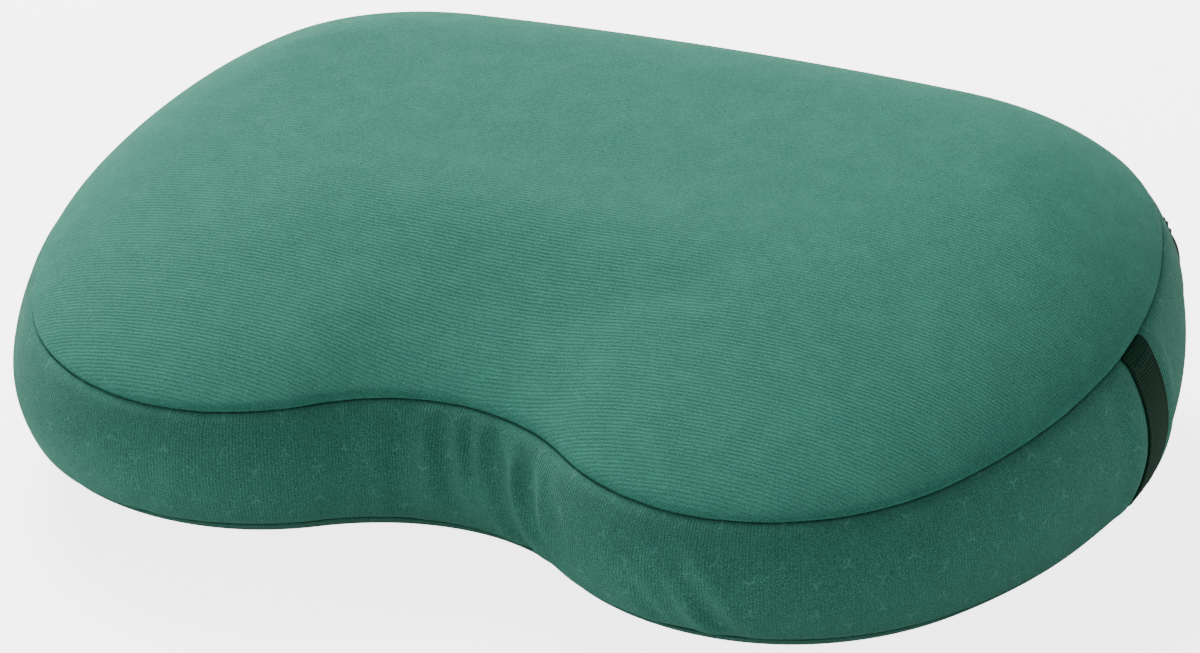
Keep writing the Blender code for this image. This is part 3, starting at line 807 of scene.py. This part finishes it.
# The zip: two panels of the band with a mouth between them, two tapes, two rows of coil and two stops.
zipper = {
    "height": 0.048,
    "mouth": 0.010,
    "tapeReach": 0.012,
    "tapeDepth": 0.0019,
    "tapeThickness": 0.0006,
    "pitch": 0.0014,
    "tooth": (0.00046, 0.00125, 0.0009),
    "toothOff": 0.0009,  # from the zip's middle line
    "coilDepth": 0.0018,
    "coilEnd": 0.006,
    "tapeGap": 0.0011,
    "stitch": 0.0028,
    "stitchSize": (0.001176, 0.00022, 0.00016),
    "tackEnd": 0.0036,
    "tackReach": 0.007,
    "tackPitch": 0.0010,
    "tackSize": (0.0011, 0.00034, 0.0003),
    "hem": 0.0030,  # from the panel's edge to its row of stitches
}


bandFinish = finishedPlace("band", bandPoint)


def makeZipPanel(name, above, replaced):
    edge = zipper["height"] + (0.5 if above else -0.5) * zipper["mouth"]
    cloth = clothGrid(panels["band"], bandFinish, onZip, tucked=True)
    everything = list(cloth.verts) + list(cloth.edges) + list(cloth.faces)
    bmesh.ops.bisect_plane(cloth, geom=everything, dist=1e-6, plane_co=(0, 0, edge),
                           plane_no=(0, 0, 1), clear_inner=above, clear_outer=not above)
    bmesh.ops.recalc_face_normals(cloth, faces=cloth.faces)
    if sum(face.normal.y for face in cloth.faces) < 0:
        bmesh.ops.reverse_faces(cloth, faces=cloth.faces)
    piece = meshObject(name, cloth, zipJersey)
    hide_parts(replaced)
    thicken(piece, cover["thickness"], 0)


def bandStrip(name, span, heights, segments, lift, thickness, material, replaced, surface=bandPoint):
    # A strip that follows the band between two distances, with a UV map in metres.
    strip = bmesh.new()
    bmesh.ops.create_grid(strip, x_segments=segments[0], y_segments=segments[1], size=0.5)
    layout = strip.loops.layers.uv.new("cloth")
    places = {}
    for vert in strip.verts:
        distance = span[0] + (span[1] - span[0]) * (vert.co.x + 0.5)
        high, low = heights(distance)
        height = low + (high - low) * (vert.co.y + 0.5)
        places[vert] = (distance, height, vert.co.x * 2, vert.co.y * 2)
    for face in strip.faces:
        for loop in face.loops:
            loop[layout].uv = places[loop.vert][:2]
    for vert, (distance, height, across, along) in places.items():
        share = bandShare(distance, height)
        vert.co = surface(distance, share) + bandNormal(distance, share) * lift(across, along)
    bmesh.ops.recalc_face_normals(strip, faces=strip.faces)
    outward = bandNormal(sum(span) / 2, 0.5)
    if sum(face.normal.dot(outward) for face in strip.faces) < 0:
        bmesh.ops.reverse_faces(strip, faces=strip.faces)
    piece = meshObject(name, strip, material)
    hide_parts(replaced)
    thicken(piece, thickness)


def bandFrame(distance, height, lift=0.0):
    # Matrix on the band: X along it, Y up it, Z straight out.
    share = bandShare(distance, height)
    outward = bandNormal(distance, share)
    along = (bandPoint(distance + 0.001, share) - bandPoint(distance - 0.001, share)).normalized()
    up = outward.cross(along).normalized()
    along = up.cross(outward)
    turn = Matrix((along, up, outward)).transposed().to_4x4()
    return Matrix.Translation(bandPoint(distance, share) + outward * lift) @ turn


def beads(name, frames, size, material, replaced=()):
    # Many small rounded shapes in one piece: stitches, or the loops of a zip's coil.
    mesh = bmesh.new()
    for matrix in frames:
        made = bmesh.ops.create_icosphere(mesh, subdivisions=1, radius=1.0)
        bmesh.ops.scale(mesh, vec=size, verts=made["verts"])
        bmesh.ops.transform(mesh, matrix=matrix, verts=made["verts"])
    piece = meshObject(name, mesh, material)
    if replaced:
        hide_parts(*replaced)


def evenSteps(first, last, step):
    count = max(1, round(abs(last - first) / step))
    return [first + (last - first) * (index + 0.5) / count for index in range(count)]


makeZipPanel("zip_panel_upper", True, "cover_zip_panel_upper")
makeZipPanel("zip_panel_lower", False, "cover_zip_panel_lower")
coilHalf = zipHalf - zipper["coilEnd"]
seamHalf = zipHalf - 0.002


def sunkIn(across, along):
    return -zipper["tapeDepth"]


for name, side in (("upper", 1), ("lower", -1)):
    tapeEdges = [zipper["height"] + side * zipper[key] for key in ("tapeGap", "tapeReach")]
    tapeEdges.sort(reverse=True)
    bandStrip("woven_tape_" + name, (-zipHalf, zipHalf), lambda distance: tapeEdges, (80, 6), sunkIn,
              zipper["tapeThickness"], zipTape, "zip_tape_" + name)
    toothHeight = zipper["height"] + side * zipper["toothOff"]
    teeth = [bandFrame(distance + side * zipper["pitch"] / 4, toothHeight, -zipper["coilDepth"])
             for distance in evenSteps(-coilHalf, coilHalf, zipper["pitch"])]
    beads("coil_teeth_" + name, teeth, zipper["tooth"], coilNylon, ["zip_coil_" + name])
    line = zipper["height"] + side * (zipper["mouth"] / 2 + zipper["hem"])
    frames = [bandFrame(distance, line, 0.0002)
              for distance in evenSteps(-seamHalf, seamHalf, zipper["stitch"])]
    beads("zip_stitches_" + name, frames, zipper["stitchSize"], thread)
for name, end in (("closed_end", zipHalf - zipper["tackEnd"]), ("open_end", zipper["tackEnd"] - zipHalf)):
    low, high = zipper["height"] - zipper["tackReach"], zipper["height"] + zipper["tackReach"]
    frames = [bandFrame(end, height, -0.0011) for height in evenSteps(low, high, zipper["tackPitch"])]
    beads("bar_tack_" + name, frames, zipper["tackSize"], thread)
print("zip made")


def roundEdges(piece, width, segments):
    bevel = piece.modifiers.new("Edges", "BEVEL")
    bevel.width = width
    bevel.segments = segments
    bevel.limit_method = "ANGLE"
    bevel.angle_limit = math.radians(40)


def softenedCopy(name, node, material, body, width):
    # A moulded or cast piece: the frame's own shape with its faces joined up and its edges rounded.
    solid = bmesh.new()
    solid.from_mesh(nodes[node].data)
    bmesh.ops.remove_doubles(solid, verts=solid.verts, dist=1e-6)
    bmesh.ops.dissolve_limit(solid, angle_limit=math.radians(1), verts=solid.verts,
                             edges=solid.edges)
    piece = meshObject(name, solid, material, body)
    roundEdges(piece, width, 3)
    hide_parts(node)


softenedCopy("slider", "zip_slider", paintedZinc, "slider", 0.0003)
softenedCopy("pull_tab", "zip_pull_tab", paintedZinc, "pull_tab", 0.00025)
softenedCopy("stop_closed_end", "zip_stop_closed_end", paintedZinc, "pillow", 0.0004)
softenedCopy("stop_open_end", "zip_stop_open_end", paintedZinc, "pillow", 0.0004)

# The webbing loops: flat tape over the band, caught in both seams, with a bar tack under the top one.
def fullHeight(distance):
    return seamPlane(outlineAt(distance)[0].y) - 0.0001, cover["bottomSeam"] + 0.0001


def strapLift(across, along):
    return loops["lift"] - 0.0002 * across ** 4 - 0.0002 * smoothStep(0.93, 1.0, abs(along))


for name, middle in (("right", loopDistance), ("left", girth - loopDistance)):
    span = (middle - loops["width"] / 2, middle + loops["width"] / 2)
    bandStrip("webbing_loop_" + name, span, fullHeight, (10, 44), strapLift, loops["thickness"],
              webbing, "end_loop_" + name, bandFinish)
    tack = []
    for row in (0.0040, 0.0052):
        for distance in evenSteps(span[0] + 0.001, span[1] - 0.001, 0.0012):
            height = fullHeight(distance)[0] - row
            turn = Matrix.Rotation(math.radians(65), 4, "Z")
            tack.append(bandFrame(distance, height, 0.0006) @ turn)
    beads("bar_tack_" + name, tack, (0.0007, 0.00018, 0.00014), tackThread)
print("loops made")


# The care label: satin tape caught in the bottom seam, its free edge a little proud of the band.
def labelHeights(distance):
    top = seamPlane(outlineAt(distance)[0].y)
    return top + (cover["bottomSeam"] - top) * label["share"], cover["bottomSeam"] + 0.0003


def labelLift(across, along):
    curl = smoothStep(0.2, 1.0, along) * (0.6 + 0.4 * math.sin(across * 2.2))
    return label["proud"] * (1 + curl)


labelSpan = (labelDistance - label["width"] / 2, labelDistance + label["width"] / 2)
bandStrip("satin_label", labelSpan, labelHeights, (16, 14), labelLift, label["thickness"], satin,
          "care_label")

# The valve: a flanged body, a plug hinged on it, a membrane, and a cap hinged on the plug. Each outline
# is (radius, height) round the valve's axis. A hinge lug is (start, end) across and (low, high) along it.
valveParts = {
    "valve_collar": {"node": "valve_body", "body": "pillow", "lug": ((0.0104, 0.01405), (0.0016, 0.0024)),
                     "outline": [(0.0080, -0.0062), (0.0170, -0.0062), (0.0170, -0.0050), (0.0110, -0.0050),
                                 (0.0110, 0.0024), (0.0080, 0.0024)]},
    "plug": {"node": "valve_plug", "body": "plug", "lug": ((0.0087, 0.0124), (0.0027, 0.0035)),
             "outline": [(0.0060, -0.0020), (0.00713, -0.0020), (0.0077, 0.0), (0.0077, 0.0027),
                         (0.0095, 0.0027), (0.0095, 0.0035), (0.0045, 0.0035), (0.0045, 0.0015),
                         (0.0060, 0.0015)]},
    "membrane": {"node": "valve_membrane", "body": "plug",
                 "outline": [(0.0, 0.0006), (0.0057, 0.0006), (0.0057, 0.0012), (0.0, 0.0012)]},
    "cap": {"node": "valve_cap", "body": "cap", "lug": ((0.0072, 0.00945), (0.0038, 0.0048)), "ribs": 15,
            "outline": [(0.0, 0.0020), (0.0042, 0.0020), (0.0042, 0.0038), (0.0082, 0.0038),
                        (0.0082, 0.0048), (0.0052, 0.0048), (0.0046, 0.0044), (0.0, 0.0044)]},
}
ribSize = (0.0004, 0.0016, 0.0005)
ribSpread = math.radians(70)
valveOut = Vector((math.sin(valve["turn"]), math.cos(valve["turn"]), 0))
valveBack = Vector((-valveOut.y, valveOut.x, 0))
valveTurn = Matrix((valveBack, upward, valveOut)).transposed().to_4x4()
valveMatrix = Matrix.Translation(valveSpot) @ valveTurn


def addBlock(mesh, size, middle, turn=0.0):
    made = bmesh.ops.create_cube(mesh, size=1.0)["verts"]
    bmesh.ops.scale(mesh, vec=size, verts=made)
    bmesh.ops.translate(mesh, vec=middle, verts=made)
    bmesh.ops.transform(mesh, matrix=Matrix.Rotation(turn, 4, "Z"), verts=made)


for name, part in valveParts.items():
    mesh = bmesh.new()
    ring = [mesh.verts.new((radius, 0, height)) for radius, height in part["outline"]]
    lines = [mesh.edges.new((ring[index - 1], ring[index])) for index in range(len(ring))]
    bmesh.ops.spin(mesh, geom=ring + lines, cent=(0, 0, 0), axis=(0, 0, 1), angle=2 * math.pi,
                   steps=valve["steps"], use_merge=True)
    bmesh.ops.remove_doubles(mesh, verts=mesh.verts, dist=1e-6)
    bmesh.ops.recalc_face_normals(mesh, faces=mesh.faces)
    if "lug" in part:
        (start, end), (low, high) = part["lug"]
        addBlock(mesh, (valve["lugWidth"], end - start, high - low), (0, (start + end) / 2, (low + high) / 2))
    ribs = part.get("ribs", 0)
    for index in range(ribs):
        turn = ribSpread * (2 * index / (ribs - 1) - 1)
        addBlock(mesh, ribSize, (0, -valve["ribRadius"], valve["ribHeight"]), turn)
    bmesh.ops.transform(mesh, matrix=valveMatrix, verts=mesh.verts)
    isFilm = name == "membrane"
    piece = meshObject(name, mesh, silicone if isFilm else mouldedPlastic, part["body"])
    roundEdges(piece, valve["edge"], 2)
    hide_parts(part["node"])
bindingRing = []
for index in range(valve["bindingStitches"]):
    turn = 2 * math.pi * index / valve["bindingStitches"]
    distance = valveDistance - math.sin(turn) * valve["bindingRadius"]
    height = valve["height"] + math.cos(turn) * valve["bindingRadius"]
    bindingRing.append(bandFrame(distance, height, 0.0013) @ Matrix.Rotation(-turn, 4, "Z"))
softenedCopy("window_binding", "valve_window_binding", binding, "pillow", 0.0003)
beads("binding_stitches", bindingRing, (0.0009, 0.0002, 0.00016), tackThread)
print("valve made")

# The core stays as the frame has it, inside the cover.
coreMaterials = {"foam_core": opencellFoam, "core_top_skin": filmLaminate,
                 "core_bottom_skin": filmLaminate, "core_side_wall": filmLaminate}
for node, material in coreMaterials.items():
    nodes[node].data.materials.clear()
    nodes[node].data.materials.append(material)


def look(source, target, roll=0.0):
    away = (source - target).normalized()
    side = Vector((0, 0, 1)).cross(away).normalized()
    up = away.cross(side)
    turn = Matrix((side, up, away)).transposed() @ Matrix.Rotation(roll, 3, "Z")
    return Matrix.Translation(source) @ turn.to_4x4()


view = {"azimuth": 27.48, "elevation": 26.67, "roll": -2.5, "distance": 1.4065, "lens": 132.05,
        "target": (0.0027, 0.0016, 0.040)}
azimuth, elevation = math.radians(view["azimuth"]), math.radians(view["elevation"])
level = math.cos(elevation)
back = Vector((math.sin(azimuth) * level, -math.cos(azimuth) * level, math.sin(elevation)))
target = Vector(view["target"])
camera = bpy.data.objects.new("camera", bpy.data.cameras.new("camera"))
camera.data.lens = view["lens"]
camera.data.clip_start = 0.01
camera.matrix_world = look(target + back * view["distance"], target, math.radians(view["roll"]))
bpy.context.scene.collection.objects.link(camera)
bpy.context.scene.camera = camera

lights = {
    "key": {"from": (-1.0, 0.95, 1.35), "size": 1.0, "power": 70, "colour": "#FFFDF8"},
    "front": {"from": (-1.5, -0.6, 0.6), "size": 1.2, "power": 7.5, "colour": "#F4F8FF"},
    "right": {"from": (1.4, 0.3, 0.7), "size": 1.0, "power": 1, "colour": "#FFFFFF"},
}
for name, light in lights.items():
    lamp = bpy.data.lights.new(name, "AREA")
    lamp.shape = "DISK"
    lamp.size = light["size"]
    lamp.energy = light["power"]
    lamp.color = linearColour(light["colour"])[:3]
    holder = bpy.data.objects.new(name, lamp)
    holder.matrix_world = look(Vector(light["from"]), Vector((0, 0, 0.05)))
    bpy.context.scene.collection.objects.link(holder)

world = bpy.data.worlds.new("studio")
world.use_nodes = True
world.node_tree.nodes["Background"].inputs["Color"].default_value = linearColour("#F3F6F8")
world.node_tree.nodes["Background"].inputs["Strength"].default_value = 0.35
bpy.context.scene.world = world

floorMesh = bmesh.new()
bmesh.ops.create_grid(floorMesh, x_segments=1, y_segments=1, size=6)
floor = meshObject("floor", floorMesh, body=None)
floorPaint, floorTree, floorShader = newMaterial("palePaintedFloor", Roughness=0.9, Specular_IOR_Level=0.1)
floorShader.inputs["Base Color"].default_value = linearColour("#F4F5F4")
floorShader.inputs["Emission Color"].default_value = (1, 1, 1, 1)
# The camera sees the floor brighter than the floor lights the pillow, for a backdrop that is nearly white.
seenDirectly = addNode(floorTree, "LightPath", output="Is Camera Ray")
glow = addNode(floorTree, "MapRange", None, {"Value": seenDirectly, "To Min": 0.2, "To Max": 4.0})
floorTree.links.new(glow, floorShader.inputs["Emission Strength"])
floor.data.materials.append(floorPaint)
floor.location.z = -0.0004

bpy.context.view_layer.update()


print("scene ready")
